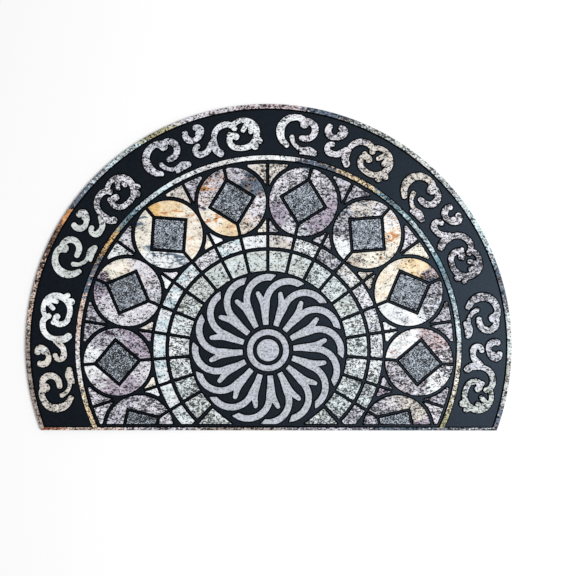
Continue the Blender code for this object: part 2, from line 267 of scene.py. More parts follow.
# The print on one stone: two colours that share it, how speckled it is, and streaks of a third colour.
def printStone(shell, tint, patch, speckle, streak, streaks):
    return printAlong(shell, [(0.0, tint, speckle), (1.0, patch, speckle)],
                      np.full(len(shell["points"]), 0.5), streak, streaks)


def put(tree, kind, inputs=None, **settings):
    made = tree.nodes.new(kind)
    for key, value in settings.items():
        setattr(made, key, value)
    for key, value in (inputs or {}).items():
        if isinstance(value, bpy.types.NodeSocket):
            tree.links.new(value, made.inputs[key])
        else:
            made.inputs[key].default_value = value
    return made


def noise(tree, place, scale, detail=2.0, roughness=0.55, distortion=0.0):
    made = put(tree, "ShaderNodeTexNoise", {"Vector": place, "Scale": scale, "Detail": detail,
                                            "Roughness": roughness, "Distortion": distortion})
    return made.outputs["Fac"]


def between(tree, value, low, high, toLow=0.0, toHigh=1.0):
    limits = {"Value": value, "From Min": low, "From Max": high, "To Min": toLow, "To Max": toHigh}
    made = put(tree, "ShaderNodeMapRange", limits, interpolation_type="SMOOTHSTEP")
    return made.outputs["Result"]


def sums(tree, operation, first, second=0.0, third=0.0):
    return put(tree, "ShaderNodeMath", {0: first, 1: second, 2: third}, operation=operation).outputs[0]


def mixed(tree, share, first, second):
    made = put(tree, "ShaderNodeMix", {0: share, 6: first, 7: second}, data_type="RGBA")
    return made.outputs[2]


def newMaterial(name):
    material = bpy.data.materials.new(name)
    material.use_nodes = True
    return material, material.node_tree, material.node_tree.nodes["Principled BSDF"]


# The black of walls and skirts: on the walls the unprinted rubber, partly painted shade, and on the skirts
# painted shade on the ground.
wallBlackAndPaintedShade = (0.0016, 0.0018, 0.0024, 1.0)


# A printed, flocked face. Its two colours meet along a torn edge, where their share plus a broad noise
# passes one half. A noise drawn out along the stone's bedding gives streaks where it is high and veins
# along its contour lines. A fine noise gives dark specks, crowded where a cloudy noise is low, and pale
# flecks.
def printedFace(name, look):
    material, tree, shader = newMaterial(name)
    place = put(tree, "ShaderNodeTexCoord").outputs["Object"]
    layers = ((look["turn"], look["stretch"]), (look["bedTurn"], look["bedding"]))
    drawn, bedded = [put(tree, "ShaderNodeMapping", {"Vector": place, "Rotation": (0.0, 0.0, turn),
                                                     "Scale": (1.0, squeeze, 1.0)}).outputs["Vector"]
                     for turn, squeeze in layers]
    tint, patch, streak = [put(tree, "ShaderNodeAttribute", attribute_name=key)
                           for key in ("tint", "patch", "streak")]
    share = put(tree, "ShaderNodeAttribute", attribute_name="share").outputs["Fac"]
    streaks = streak.outputs["Alpha"]

    broad = noise(tree, bedded, look["marble"], 4.0, 0.62, 0.4)
    torn = sums(tree, "MULTIPLY_ADD", sums(tree, "SUBTRACT", broad, 0.5), look["tear"], share)
    torn = between(tree, torn, *look["tornEdge"])
    colour = mixed(tree, torn, tint.outputs["Color"], patch.outputs["Color"])
    alphas = {0: torn, 2: tint.outputs["Alpha"], 3: patch.outputs["Alpha"]}
    speckle = put(tree, "ShaderNodeMix", alphas).outputs[0]

    thread = noise(tree, bedded, look["streakScale"], 5.0, 0.6, 0.8)
    shown = between(tree, sums(tree, "MULTIPLY_ADD", streaks, 0.30, thread), *look["streakEdge"])
    line = sums(tree, "PINGPONG", sums(tree, "MULTIPLY", thread, look["veins"]), 0.5)
    line = between(tree, line, 0.02, look["vein"], 1.0, 0.0)
    gathered = noise(tree, drawn, look["gather"], 2.0)
    gathered = between(tree, gathered, *look["gatherEdge"], 0.0, look["veining"])
    veined = sums(tree, "MULTIPLY", sums(tree, "MULTIPLY", line, gathered), between(tree, streaks, 0.0, 0.5))
    colour = mixed(tree, sums(tree, "MAXIMUM", shown, veined), colour, streak.outputs["Color"])

    fine = noise(tree, drawn, look["speck"], 3.0, 0.6, look["curl"])
    clouds = noise(tree, drawn, look["cloud"], 3.0)
    crowded = sums(tree, "MULTIPLY_ADD", sums(tree, "SUBTRACT", 0.5, clouds), look["crowding"], fine)
    dark = between(tree, sums(tree, "MULTIPLY_ADD", speckle, 0.2, crowded),
                   look["speckLevel"] - look["softness"], look["speckLevel"] + look["softness"],
                   1.0, look["darkness"])
    light = between(tree, fine, *look["fleckEdge"], look["lighter"], 1.0)
    cloud = between(tree, clouds, 0.3, 0.7, 1.0 - look["clouding"], 1.0 + look["clouding"])
    grain = between(tree, noise(tree, place, look["pile"], 2.0, 0.7), 0.25, 0.75,
                    1.0 - look["graining"], 1.0 + look["graining"])
    shade = sums(tree, "MULTIPLY", sums(tree, "MULTIPLY", cloud, grain), sums(tree, "MULTIPLY", light, dark))
    colour = put(tree, "ShaderNodeVectorMath", {0: colour, "Scale": shade},
                 operation="SCALE").outputs["Vector"]
    colour = put(tree, "ShaderNodeVectorMath", {0: colour, 1: (look["palest"],) * 3},
                 operation="MINIMUM").outputs["Vector"]

    # Where the vertex blackness is high the print gives way to black: unprinted walls, and painted shade on
    # the shoulders, walls and skirts.
    black = put(tree, "ShaderNodeAttribute", attribute_name="black").outputs["Fac"]
    colour = mixed(tree, between(tree, black, *look["blackEdge"]), colour, wallBlackAndPaintedShade)
    tree.links.new(colour, shader.inputs["Base Color"])
    shader.inputs["Roughness"].default_value = look["rough"]
    shader.inputs["Specular IOR Level"].default_value = look["gloss"]
    bump = put(tree, "ShaderNodeBump", {"Height": noise(tree, place, look["flock"], 3.0, 0.7),
                                        "Strength": 0.5, "Distance": look["flockHeight"]})
    tree.links.new(bump.outputs["Normal"], shader.inputs["Normal"])
    return material


# Matt black rubber: nearly black, with a mottling at a few millimetres, a bumpy grain at two, and a
# bluish shine.
rubberLook = {"dark": (0.0002, 0.0003, 0.0008, 1.0), "light": (0.0040, 0.0046, 0.0078, 1.0),
              "mottle": 430.0, "grain": 420.0, "bump": 1.0, "bumpHeight": 0.4 * mm,
              "rough": 0.43, "gloss": 0.25,
              "tone": (0.54, 0.75, 1.0, 1.0)}


def mouldedRubber():
    material, tree, shader = newMaterial("moulded_rubber")
    place = put(tree, "ShaderNodeTexCoord").outputs["Object"]
    mottle = noise(tree, place, rubberLook["mottle"], 4.0, 0.65)
    colour = mixed(tree, between(tree, mottle, 0.36, 0.64), rubberLook["dark"], rubberLook["light"])
    tree.links.new(colour, shader.inputs["Base Color"])
    grain = noise(tree, place, rubberLook["grain"], 3.0, 0.7)
    bump = put(tree, "ShaderNodeBump", {"Height": grain, "Strength": rubberLook["bump"],
                                        "Distance": rubberLook["bumpHeight"]})
    tree.links.new(bump.outputs["Normal"], shader.inputs["Normal"])
    shader.inputs["Roughness"].default_value = rubberLook["rough"]
    shader.inputs["Specular IOR Level"].default_value = rubberLook["gloss"]
    shader.inputs["Specular Tint"].default_value = rubberLook["tone"]
    return material


# What the printed faces share, and what each kind changes. Scales are features to the metre.
commonLook = {
    "marble": 32.0, "tear": 1.3, "streakScale": 26.0, "bedding": 2.4, "bedTurn": -0.2,
    "stretch": 1.5, "turn": 0.5,
    "veins": 11.0, "vein": 0.14, "gather": 45.0, "veining": 1.0,
    "cloud": 60.0, "clouding": 0.15, "crowding": 0.25, "speck": 205.0, "curl": 1.0, "softness": 0.02,
    "darkness": 0.08, "lighter": 1.2, "pile": 450.0, "graining": 0.16,
    "palest": 0.93, "rough": 0.95, "gloss": 0.03, "flock": 1100.0, "flockHeight": 0.25 * mm,
    # Where a noise or a share passes from one state to the other.
    "tornEdge": (0.38, 0.62), "streakEdge": (0.76, 0.83), "gatherEdge": (0.47, 0.57),
    "fleckEdge": (0.36, 0.45), "blackEdge": (0.35, 0.75), "speckLevel": 0.655,
}
looks = {
    "rosette": {"speck": 260.0, "darkness": 0.52, "clouding": 0.03, "crowding": 0.1, "stretch": 1.15},
    "granite": {"speck": 255.0, "darkness": 0.055, "curl": 2.0, "lighter": 1.3, "stretch": 1.1,
                "clouding": 0.08, "crowding": 0.15},
    "blocks": {"speck": 215.0, "darkness": 0.11, "stretch": 1.35, "crowding": 0.18, "clouding": 0.1},
    "roundels": {},
    "scrolls": {"speck": 215.0, "darkness": 0.1, "stretch": 1.4, "crowding": 0.2},
    "edging": {"marble": 150.0, "tear": 2.6, "streakScale": 120.0, "bedding": 1.4, "speck": 235.0,
               "darkness": 0.1, "lighter": 1.35, "stretch": 1.3},
}


# The circle's outline closed by a straight line at this height from its centre, anticlockwise: equal
# steps of angle along the arc, then equal steps along the line.
def halfMoon(radius, floor, arcSteps=360, lineSteps=240):
    end = np.degrees(np.arcsin(floor / radius))
    arc = polar(radius, np.linspace(end, 180.0 - end, arcSteps + 1))
    share = np.linspace(0.0, 1.0, lineSteps + 1)[1:-1, None]
    return np.concatenate([arc, arc[-1] + share * (arc[0] - arc[-1])])


# The slab: the half-moon carried up its rounded side, with a flat ground and underside.
slab = {"rounding": 0.9 * mm, "footRounding": 0.8 * mm}


def makeSlab():
    rounding, foot, ground = slab["rounding"], slab["footRounding"], mat["groundTop"]
    profile = np.array([
        (foot, 0.0, 1.0), (bend * foot, bend * foot, 1.0), (0.0, foot, 1.0),
        (0.0, ground - rounding, 1.0), (bend * rounding, ground - bend * rounding, 1.0),
        (rounding, ground, 1.0),
    ])
    shell = carriedRound(halfMoon(mat["radius"], straightEdge), profile)
    return makePiece("rubber_slab", [shell], mouldedRubber(), "rubber")


# The rim and the strip along the bottom, as one hoop just inside the slab's edge. The rim's stops are
# in degrees, the strip's in millimetres from the middle.
rim = {
    "inset": 0.5 * mm, "width": 8.8 * mm, "strip": 6.0 * mm,
    # On the outer side, how far down the wall's top is, and how far in its lean, bend and top edge.
    "wallTop": 1.6 * mm, "lean": 0.15 * mm, "bendIn": 0.35 * mm, "topIn": 0.9 * mm,
    # On the inner side, how far out the bend is, and how far in the painted-shade skirt's root past that
    # skirt.
    "innerBend": 0.2 * mm, "rootIn": 0.35 * mm,
    "stops": [(-20, "slate", 0.6), (-8, "linen", 0.6), (5, "mist", 0.5), (15, "slate", 0.5),
              (28, "ice", 0.6), (45, "mist", 0.7), (60, "linen", 0.8), (78, "slate", 0.7),
              (85, "rose", 0.7), (108, "pearl", 0.6),
              (117, "olive", 0.6), (125, "ice", 0.7), (143, "slate", 0.4), (146, "amber", 0.4),
              (152, "umber", 0.6), (170, "peach", 0.7), (182, "taupe", 0.7), (200, "taupe", 0.7)],
    "stripStops": [(-430, "rust", 0.6), (-350, "peach", 0.7), (-200, "dove", 0.9), (-60, "taupe", 0.7),
                   (100, "dove", 0.8), (240, "slate", 0.6), (430, "lilac", 0.9)],
}


def makeRim():
    top, ground, edge = patternTop, mat["groundTop"], raisedEdge
    inset, radius = rim["inset"], mat["radius"]
    outer = halfMoon(radius - inset, straightEdge + inset, 720, 360)
    inner = halfMoon(radius - rim["width"], straightEdge + rim["strip"], 720, 360)
    shadeSkirt, rise = edge["shadeSkirt"], ground + edge["shadeSkirtRise"]
    # The inner side's shoulder, wall and skirt carry black, the skirt being painted shade on the ground at
    # the wall's foot.
    rows = [
        (0.0, 0.0, ground - edge["shadeSkirtRoot"], 1.0), (0.0, 0.0, top - rim["wallTop"], 1.0),
        (0.0, rim["lean"], top - edge["shoulder"], 0.5),
        (0.0, rim["bendIn"], top - bend * edge["shoulder"], 0.0),
        (0.0, rim["topIn"], top, 0.0), (0.5, 0.0, top, 0.0), (1.0, -edge["shoulder"], top, 0.0),
        (1.0, -rim["innerBend"], top - bend * edge["shoulder"], edge["shoulderBlack"]),
        (1.0, 0.0, top - edge["shoulder"], 1.0),
        (1.0, edge["draft"], rise, 1.0), (1.0, edge["draft"] + shadeSkirt, rise, 1.0),
        (1.0, rim["rootIn"] + shadeSkirt, ground - edge["shadeSkirtRoot"], 1.0),
    ]
    shell = carriedBetween(outer, inner, rows)
    flat = shell["flat"]
    printAlong(shell, rim["stops"], angleOf(flat), "rust", 0.45)
    strip = printAlong({"points": shell["points"]}, rim["stripStops"], flat[:, 0] / mm, "rust", 0.45)
    onStrip = flat[:, 1] < centreY + straightEdge + inset + 0.01 * mm
    for key in ("share", "tint", "patch", "streak"):
        choose = onStrip if shell[key].ndim == 1 else onStrip[:, None]
        shell[key] = np.where(choose, strip[key], shell[key])
    return makePiece("printed_rim", [shell], edging, "printed_face")


# The thin printed band: an outer and an inner arc, both run down into the strip.
band = {
    "radii": (348.8 * mm, 356.8 * mm), "floor": -145.5 * mm, "sink": 0.05 * mm,
    "stops": [(-24, "olive", 0.8), (-8, "cream", 0.6), (5, "ice", 0.7), (25, "teal", 0.5),
              (36, "ice", 0.6), (50, "teal", 0.7), (62, "butter", 0.8), (76, "slate", 0.6),
              (86, "snow", 0.4), (112, "snow", 0.4), (126, "ice", 0.5), (139, "teal", 0.5),
              (143, "gold", 0.6), (157, "slate", 0.6),
              (170, "peach", 0.6), (184, "snow", 0.6), (200, "butter", 0.8)],
}


def makeBand():
    inner, outer = band["radii"]
    startIn, startOut = [np.degrees(np.arcsin(band["floor"] / radius)) for radius in (inner, outer)]
    share = np.linspace(0.0, 1.0, 561)
    outside = polar(outer, startOut + share * (180.0 - 2 * startOut))
    inside = polar(inner, startIn + share * (180.0 - 2 * startIn))
    profile = raisedProfile(patternTop - band["sink"])
    shell = carriedRound(np.concatenate([outside, inside[::-1]]), profile, ladder=True)
    printAlong(shell, band["stops"], angleOf(shell["flat"]), "rust", 0.4)
    return makePiece("printed_band", [shell], edging, "printed_face")


# The rosette: a disc in a ring, and petals round them, each a stem that forks into a prong and a tail.
rosette = {
    "disc": 20.6 * mm, "ring": (28.1 * mm, 38.8 * mm),
    "petals": 16, "firstPetal": 94.5,
    "tailCentre": (44.0 * mm, 84.0 * mm), "tailRadii": (34.0 * mm, 46.0 * mm),
    "tailRoot": 163.0, "tailTip": (55.0, 45.0),
    "foot": (5.0 * mm, 47.0 * mm), "neck": (6.0 * mm, 62.0 * mm),
    "prongCentre": (-58.0 * mm, 76.0 * mm), "prongRadius": 51.0 * mm, "prongTurn": 26.0,
    "tipCentre": (-10.0 * mm, 106.0 * mm), "tipRadius": 4.0 * mm, "tip": (190.0, 20.0),
    "speckle": 0.5,
}


# The stem's foot, the prong's outer edge and round tip, the tail's outer arc, its inner arc back, and
# the stem's right side. Each curve is an arc: its centre, plus its radius turned from one angle to the
# other.
def petalOutline():
    inner, outer = rosette["tailRadii"]
    tipIn, tipOut = rosette["tailTip"]

    def arc(centre, radius, start, end):
        turn = np.radians(np.linspace(start, end, 19))
        return np.array(centre) + radius * np.stack([np.cos(turn), np.sin(turn)], axis=1)

    (foot, footAlong), neck = rosette["foot"], rosette["neck"]
    return np.concatenate([
        [(-foot, footAlong)],
        arc(rosette["prongCentre"], rosette["prongRadius"], 0.0, rosette["prongTurn"]),
        arc(rosette["tipCentre"], rosette["tipRadius"], *rosette["tip"]),
        arc(rosette["tailCentre"], outer, rosette["tailRoot"], tipOut),
        arc(rosette["tailCentre"], inner, tipIn, 180.0),
        [neck, (foot, footAlong)],
    ])


def makeRosette():
    profile = raisedProfile(patternTop)
    shells = []
    outline = petalOutline()
    for count in range(rosette["petals"]):
        turn = np.radians(rosette["firstPetal"] + 360.0 / rosette["petals"] * count)
        spin = np.array([(np.sin(turn), -np.cos(turn)), (np.cos(turn), np.sin(turn))])
        loop = cutAtBottom(outline @ spin + (0.0, centreY))
        shells.append(carriedRound(withoutRepeats(roundedCorners(loop, 1.2 * mm)), profile))
    shells.append(carriedRound(polar(rosette["disc"], np.arange(0.0, 360.0, 4.0)), profile))
    inner, outer = rosette["ring"]
    ringRows = [(0.0, inset, up, black) for inset, up, black in profile]
    ringRows += [(1.0, -inset, up, black) for inset, up, black in profile[::-1]]
    turn = np.arange(0.0, 360.0, 2.5)
    shells.append(carriedBetween(polar(outer, turn), polar(inner, turn), ringRows))
    for shell in shells:
        printStone(shell, "lilac", "lilac", rosette["speckle"], "dove", 0.0)
    rosettePrint = printedFace("rosette_print", commonLook | looks["rosette"])
    return makePiece("rosette", shells, rosettePrint, "printed_face")


# Angles a pitch apart over the mat, clockwise from its lower left.
def spokes(pitch, first):
    last = 130.0
    count = int(last / pitch) + 1
    angles = 90.0 + first + pitch * np.arange(count, -count - 1, -1)
    return angles[np.abs(angles - 90.0) <= last]


# Two rings of stones, as (colour, second colour, how speckled), from the lower left clockwise.
stones = {
    "pitch": 13.5,
    "inner": {
        "radii": (146.5 * mm, 183.0 * mm), "streak": "taupe", "streaks": 0.1,
        "looks": [("mist", "linen", 0.9), ("mist", "mist", 0.9), ("snow", "mist", 0.8), ("snow", "mist", 0.7),
                  ("mist", "snow", 0.6), ("linen", "mist", 0.7), ("linen", "linen", 0.6),
                  ("linen", "mist", 0.5), ("linen", "mist", 0.4), ("linen", "mist", 0.4),
                  ("linen", "mist", 0.5), ("mist", "linen", 0.5), ("mist", "mist", 0.6),
                  ("mist", "mist", 0.6), ("mist", "linen", 0.6), ("mist", "snow", 0.6), ("mist", "mist", 0.7),
                  ("snow", "mist", 0.7), ("mist", "mist", 0.8), ("mist", "mist", 0.8)],
    },
    "outer": {
        "radii": (190.0 * mm, 211.7 * mm), "streak": "slate", "streaks": 0.25,
        "looks": [("snow", "mist", 0.5), ("snow", "mist", 0.4), ("snow", "ice", 0.4), ("snow", "ice", 0.4),
                  ("snow", "ice", 0.4), ("ice", "snow", 0.6), ("ice", "snow", 0.5), ("snow", "pearl", 0.7),
                  ("ice", "snow", 0.5), ("snow", "snow", 0.4), ("pearl", "sand", 0.5), ("snow", "linen", 0.7),
                  ("cloud", "dove", 0.9), ("snow", "sand", 0.7), ("pearl", "snow", 0.7),
                  ("cloud", "snow", 0.7), ("cloud", "snow", 0.7), ("snow", "mist", 0.7),
                  ("mist", "cloud", 0.8), ("cloud", "dove", 0.8)],
    },
    "foot": [(103.0 * mm, -108.5 * mm), (129.0 * mm, -137.5 * mm), (67.5 * mm, -137.5 * mm)],
}


def arcBlock(radii, middle, pitch):
    inner, outer = radii
    turnedIn, turnedOut = [pitch / 2 - np.degrees(np.arcsin(mat["groove"] / 2 / radius)) for radius in radii]
    share = np.linspace(-1.0, 1.0, 9)
    return np.concatenate([polar(outer, middle + turnedOut * share), polar(inner, middle - turnedIn * share)])


def makeStones():
    pitch, profile = stones["pitch"], raisedProfile(patternTop)
    shells = []
    for ring in (stones["inner"], stones["outer"]):
        for look, middle in zip(ring["looks"], spokes(pitch, pitch / 2)):
            loop = cutAtBottom(arcBlock(ring["radii"], middle, pitch))
            shell = carriedRound(withoutRepeats(roundedCorners(loop, 1.0 * mm)), profile)
            shells.append(printStone(shell, *look, ring["streak"], ring["streaks"]))
    for side in (1, -1):
        loop = np.array([(side * across, centreY + up) for across, up in stones["foot"]])
        shell = carriedRound(withoutRepeats(roundedCorners(loop, 1.0 * mm)), profile)
        shells.append(printStone(shell, "mist", "linen", 0.8, "taupe", 0.1))
    blockPrint = printedFace("block_print", commonLook | looks["blocks"])
    return makePiece("block_rings", shells, blockPrint, "printed_face")


# The roundels: a square stone on its corner, and a half ring on each side of it. Clockwise from the
# lower left, each has its square's speckle, then its left and its right half as one faces outwards: the
# stops from the outer joint to the inner one, the streaks' colour, and how many streaks.
roundels = {
    "pitch": 27.0, "centres": 280.0 * mm, "radius": 62.2 * mm, "squareCorner": 37.5 * mm,
    "prints": [
        (1.1,
         ([(0, "pearl", 0.5), (1, "pearl", 0.6)], "mauve", 0.4),
         ([(0, "pearl", 0.7), (0.5, "dove", 0.7), (1, "pearl", 0.8)], "plum", 0.5)),
        (1.1,
         ([(0, "snow", 0.3), (0.5, "mauve", 0.6), (1, "pearl", 0.5)], "rose", 0.5),
         ([(0, "snow", 0.4), (0.4, "dove", 0.7), (0.75, "mauve", 0.7), (1, "mauve", 0.7)], "plum", 0.4)),
        (0.9,
         ([(0, "slate", 0.6), (0.12, "mauve", 0.8), (0.26, "pearl", 0.6), (1, "pearl", 0.5)], "mauve", 0.6),
         ([(0, "mauve", 0.8), (0.2, "cream", 0.2), (0.6, "pearl", 0.4), (1, "cloud", 0.7)], "rust", 0.4)),
        (0.9,
         ([(0, "cream", 0.1), (0.4, "cream", 0.2), (0.5, "snow", 0.4), (1, "snow", 0.1)], "slate", 0.7),
         ([(0, "gold", 0.1), (0.2, "butter", 0.1), (0.5, "cream", 0.1), (1, "cream", 0.1)], "amber", 0.7)),
        (1.0,
         ([(0, "dove", 0.6), (0.4, "pearl", 0.6), (0.6, "cream", 0.2), (1, "butter", 0.1)], "amber", 0.7),
         ([(0, "dove", 0.6), (0.4, "slate", 0.6), (0.6, "pearl", 0.7), (1, "sand", 0.5)], "amber", 0.4)),
        (0.9,
         ([(0, "pearl", 0.7), (0.4, "pearl", 0.7), (0.7, "mauve", 0.6), (1, "pearl", 0.7)], "slate", 0.6),
         ([(0, "pearl", 0.7), (0.7, "mauve", 0.6), (1, "cloud", 0.7)], "slate", 0.5)),
        (0.8,
         ([(0, "pearl", 0.7), (0.3, "sand", 0.6), (0.5, "dove", 0.8), (1, "snow", 0.4)], "slate", 0.6),
         ([(0, "snow", 0.4), (0.4, "cream", 0.4), (0.6, "cream", 0.4), (1, "sand", 0.5)], "amber", 0.7)),
        (0.9,
         ([(0, "slate", 0.7), (0.1, "mauve", 0.8), (0.24, "butter", 0.3), (0.6, "cream", 0.2),
           (1, "cream", 0.2)], "gold", 0.5),
         ([(0, "dove", 0.8), (0.35, "cloud", 0.8), (0.5, "snow", 0.3), (1, "snow", 0.1)], "slate", 0.4)),
        (0.9,
         ([(0, "pearl", 0.8), (0.4, "rose", 0.7), (0.7, "snow", 0.2), (1, "snow", 0.1)], "rust", 0.5),
         ([(0, "cloud", 0.9), (0.25, "snow", 0.5), (0.5, "dove", 0.9), (1, "dove", 0.8)], "peach", 0.5)),
        (0.9,
         ([(0, "mauve", 0.7), (0.6, "sand", 0.6), (0.8, "dove", 0.9), (1, "dove", 0.8)], "slate", 0.5),
         ([(0, "mauve", 0.6), (1, "dove", 0.8)], "plum", 0.5)),
    ],
}


# The outer side is the circle; the inner side is the square seat, whose distance from the roundel's
# centre is its corner's divided by the sum of the angle's sine and cosine, each taken positive.
def halfRing(centre, middle, side):
    radius, joint = roundels["radius"], mat["groove"] / 2
    corner = roundels["squareCorner"] + mat["groove"] * np.sqrt(2.0)
    share = np.linspace(0.0, 1.0, 49)
    startOut, startIn = np.degrees(np.arcsin(joint / radius)), np.degrees(np.arctan2(joint, corner - joint))
    turnOut = startOut + share * (180.0 - 2 * startOut)
    turnIn = np.radians(startIn + share * (180.0 - 2 * startIn))
    seat = corner / (np.abs(np.cos(turnIn)) + np.abs(np.sin(turnIn)))
    outer = radius * np.stack([np.cos(np.radians(turnOut)), side * np.sin(np.radians(turnOut))], axis=1)
    inner = seat[:, None] * np.stack([np.cos(turnIn), side * np.sin(turnIn)], axis=1)
    local = np.concatenate([outer, inner[::-1]])
    turn = np.radians(middle)
    spin = np.array([(np.cos(turn), np.sin(turn)), (-np.sin(turn), np.cos(turn))])
    return local @ spin + centre


# Along a half ring the print's place is the angle from outwards, over half a turn.
def makeRoundels():
    profile = raisedProfile(patternTop)
    halves, squares = [], []
    middles = spokes(roundels["pitch"], roundels["pitch"] / 2)
    for (speckle, left, right), middle in zip(roundels["prints"], middles):
        centre = polar(roundels["centres"], middle)
        outwards = polar(1.0, middle) - (0.0, centreY)
        for side, (stops, streak, streaks) in ((1, left), (-1, right)):
            whole = halfRing(centre, middle, side)
            loop = cutAtBottom(whole)
            if abs(signedArea(loop)) < mat["smallest"]:
                continue
            shell = carriedRound(withoutRepeats(loop), profile, ladder=len(loop) == len(whole))
            away = shell["flat"] - centre
            cosine = (away @ outwards) / np.linalg.norm(away, axis=1)
            halves.append(printAlong(shell, stops, np.degrees(np.arccos(cosine)) / 180.0, streak, streaks))
        turn = np.radians(middle + np.arange(0.0, 360.0, 90.0))
        square = roundels["squareCorner"] * np.stack([np.cos(turn), np.sin(turn)], axis=1)
        loop = cutAtBottom(centre + square)
        shell = carriedRound(withoutRepeats(roundedCorners(loop, 1.0 * mm)), profile)
        squares.append(printStone(shell, "granite", "granite", speckle, "slate", 0.0))
    roundelPrint = printedFace("roundel_print", commonLook | looks["roundels"])
    granitePrint = printedFace("granite_print", commonLook | looks["granite"])
    makePiece("roundel_rings", halves, roundelPrint, "printed_face")
    makePiece("square_stones", squares, granitePrint, "printed_face")


# The corner pieces between the roundels, clockwise from the lower left: the colour and speckle of the
# left one, then of the right one.
corners = {
    "radii": (217.8 * mm, 341.5 * mm), "groove": 7.5 * mm, "tip": 4.0 * mm,
    "outer": [("pearl", 0.8, "pearl", 0.7), ("dove", 0.7, "dove", 0.7), ("snow", 0.6, "pearl", 0.5),
              ("sand", 0.5, "dove", 0.6), ("sand", 0.7, "sand", 0.7), ("dove", 0.7, "dove", 0.7),
              ("pearl", 0.6, "cream", 0.4), ("dove", 0.7, "dove", 0.7), ("dove", 0.8, "pearl", 0.7)],
    "inner": [("snow", 0.4, "cream", 0.3), ("mauve", 0.6, "sand", 0.5), ("snow", 0.3, "pearl", 0.5),
              ("cream", 0.3, "snow", 0.3), ("cream", 0.6, "dove", 0.8), ("dove", 0.7, "dove", 0.8),
              ("sand", 0.5, "sand", 0.6), ("snow", 0.5, "snow", 0.6), ("dove", 0.7, "mauve", 0.7)],
}


# A radius at which the roundel's groove has this angle from the spoke, by the rule of cosines.
def cornerPiece(middle, side, edgeRadius, outwards, curvePoints=10, edgePoints=6):
    pitch, centres = roundels["pitch"], roundels["centres"]
    clear, joint = roundels["radius"] + corners["groove"], mat["groove"] / 2
    tip = edgeRadius - outwards * corners["tip"]
    away = centres * np.sin(np.radians(pitch / 2)) - joint
    along = centres * np.cos(np.radians(pitch / 2))
    point = along + outwards * np.sqrt(clear ** 2 - away ** 2)
    radii = np.linspace(tip, point, curvePoints)
    cosine = (radii ** 2 + centres ** 2 - clear ** 2) / (2 * radii * centres)
    curveTurn = pitch / 2 - np.degrees(np.arccos(cosine))
    edgeTurn = np.linspace(np.degrees(np.arcsin(joint / edgeRadius)), curveTurn[0], edgePoints)
    curve = polar(radii[:-1], middle + side * curveTurn[:-1])
    last = polar(point, middle + side * np.degrees(np.arcsin(joint / point)))
    return np.concatenate([polar(edgeRadius, middle + side * edgeTurn), curve, last[None]])


def makeCorners():
    profile, shells = raisedProfile(patternTop), []
    for key, edgeRadius, outwards in (("inner", corners["radii"][0], -1), ("outer", corners["radii"][1], 1)):
        for pair, middle in zip(corners[key], spokes(roundels["pitch"], 0.0)):
            for side, (tint, speckle) in ((1, pair[:2]), (-1, pair[2:])):
                loop = cutAtBottom(cornerPiece(middle, side, edgeRadius, outwards))
                if len(loop) < 3 or abs(signedArea(loop)) < mat["smallest"]:
                    continue
                shell = carriedRound(withoutRepeats(roundedCorners(loop, 0.9 * mm)), profile)
                shells.append(printStone(shell, tint, tint, speckle, "mauve", 0.3))
    cornerPrint = printedFace("corner_print", commonLook | looks["roundels"])
    return makePiece("corner_stones", shells, cornerPrint, "printed_face")


# The scroll border: one motif of strokes, six times. A stroke is a path of arcs that run into one
# another: its start, along the border and out from its middle, and its heading; the arcs' radii and
# turns, to the left positive; and its width at the start and after each arc. Millimetres and degrees.
scrolls = {
    "middle": 398.6 * mm, "count": 6, "pitch": 36.3, "first": 197.3,
    "arcStep": 30.0, "stationPitch": 3.0, "curveShares": 24, "noseLength": 0.42, "noseSteps": 5,
    "topStep": 0.008 * mm,    # how much lower each stroke's top is than the last one's, where they meet
    "strokes": {
        "great curl": ((26, -22, 150), [(28, -60), (28, -90), (14, -80)], [10, 15, 11, 15]),
        "leaf": ((34, -6, -80), [(24, 40), (24, 40), (120, -6), (120, -6)], [9, 7, 8, 15, 10]),
        "small curl": ((97, 26, -120), [(12, 70), (12, 70)], [10, 12, 9]),
        "stem": ((149, -29, 150), [(16, -60), (100, -8), (26, -82), (16, -70)], [13, 14, 10, 11, 10]),
        "right finger": ((212, 15, -100), [(100, 8)], [10, 8]),
        "outer bud": ((222, -10, -50), [(100, 5)], [10, 9]),
        "great hook": ((50, 24, 30), [(16, -100), (16, -100), (30, -18)], [10, 12, 11, 10]),
        "back curl": ((138, -5, -125), [(60, -15), (16, -40), (100, -4), (8, -180)],
                      [11, 11, 10, 12, 9]),
        "loop": ((181, 18, 40), [(26, -40), (24, -90), (26, -90), (60, -14), (15, -76), (8, -140)],
                 [9, 9, 12, 10, 10, 11, 12]),
        "small knot": ((111, 9, 10), [(14, 80), (6, 90)], [9, 15, 11]),
        "leaf lobe": ((65, -30, -170), [(100, 6)], [9, 6]),
        "small bud": ((120, 15, 143), [(100, 3)], [7, 7]),
        "loop tip": ((171, 2, -30), [(100, 5)], [9, 9]),
        "left finger": ((206, 18, -130), [(100, 9)], [9, 8]),
        "inner bud": ((216, -17, -85), [(100, 5)], [12, 13]),
    },
    # In degrees: the colour and how speckled it is.
    "stops": [(-22, "linen", 0.6), (5, "cloud", 0.6), (20, "dove", 0.9), (35, "pearl", 0.7),
              (56, "sand", 0.6), (75, "pearl", 0.6), (92, "snow", 0.5), (110, "cloud", 0.6),
              (135, "pearl", 0.8), (150, "linen", 0.3), (170, "snow", 0.3), (186, "sand", 0.4),
              (198, "sand", 0.6)],
}


